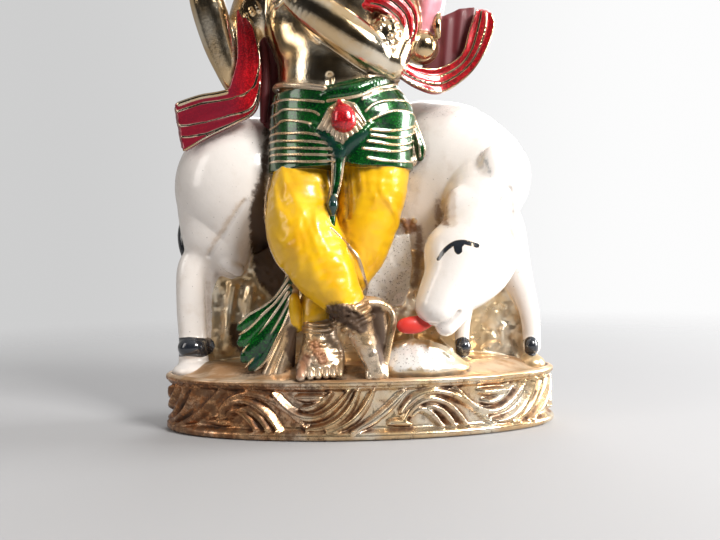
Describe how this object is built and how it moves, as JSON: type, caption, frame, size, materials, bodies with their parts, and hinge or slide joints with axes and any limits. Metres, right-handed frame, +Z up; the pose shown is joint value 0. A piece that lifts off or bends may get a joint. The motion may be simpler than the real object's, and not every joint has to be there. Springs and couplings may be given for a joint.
{
  "type": "flute player with cow figurine",
  "caption": "Small gilt and enamelled casting of a standing flute player with crossed legs in front of a cow, on an oval plinth with a leaf-scroll frieze.",
  "frame": {"origin": "centre of the plinth's flat underside", "axes": "+Z up, +X to the right of a viewer who faces the figure, -Y towards that viewer"},
  "size_m": [0.054, 0.0236, 0.0839],
  "materials": {
    "gilt_enamel_casting": "polished gilt with white, yellow, green, red and pink enamel fields"
  },
  "bodies": {
    "root": {"flute_player_and_cow": "gilt_enamel_casting"}
  },
  "joints": []
}
